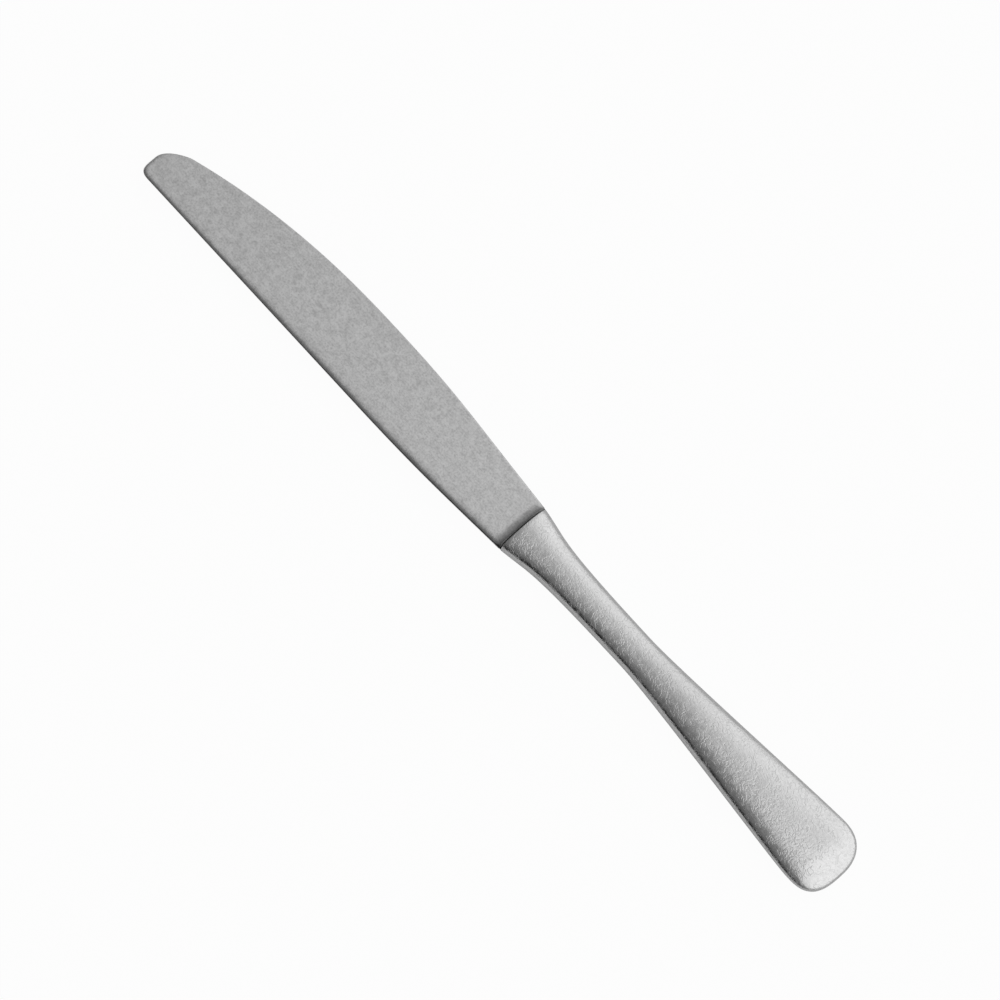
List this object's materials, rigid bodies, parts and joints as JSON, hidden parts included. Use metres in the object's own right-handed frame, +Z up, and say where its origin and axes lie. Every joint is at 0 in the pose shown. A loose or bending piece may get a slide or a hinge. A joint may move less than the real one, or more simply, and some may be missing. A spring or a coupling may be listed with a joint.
{
  "type": "table knife",
  "caption": "Stonewashed steel table knife with a straight spine, a bellied blunt-tipped blade, a bolster ramp and a waisted, rounded hollow handle, for spreading and cutting soft food.",
  "frame": {"origin": "centre of the bounding box, on the table under the knife", "axes": "+X along the knife from tip to butt, +Y from the spine towards the cutting edge, +Z up from the table"},
  "size_m": [0.242, 0.021, 0.0074],
  "materials": {
    "blade_steel": "stonewashed, fine matt grain",
    "handle_steel": "stonewashed, satin with fine scratches",
    "braze": "as brazed, unseen inside the handle",
    "cement": "matt filler, unseen inside the handle"
  },
  "bodies": {
    "root": {"blade": "blade_steel", "upper_handle_shell": "handle_steel", "lower_handle_shell": "handle_steel", "seam_braze": "braze", "tang_cement": "cement"}
  },
  "joints": []
}
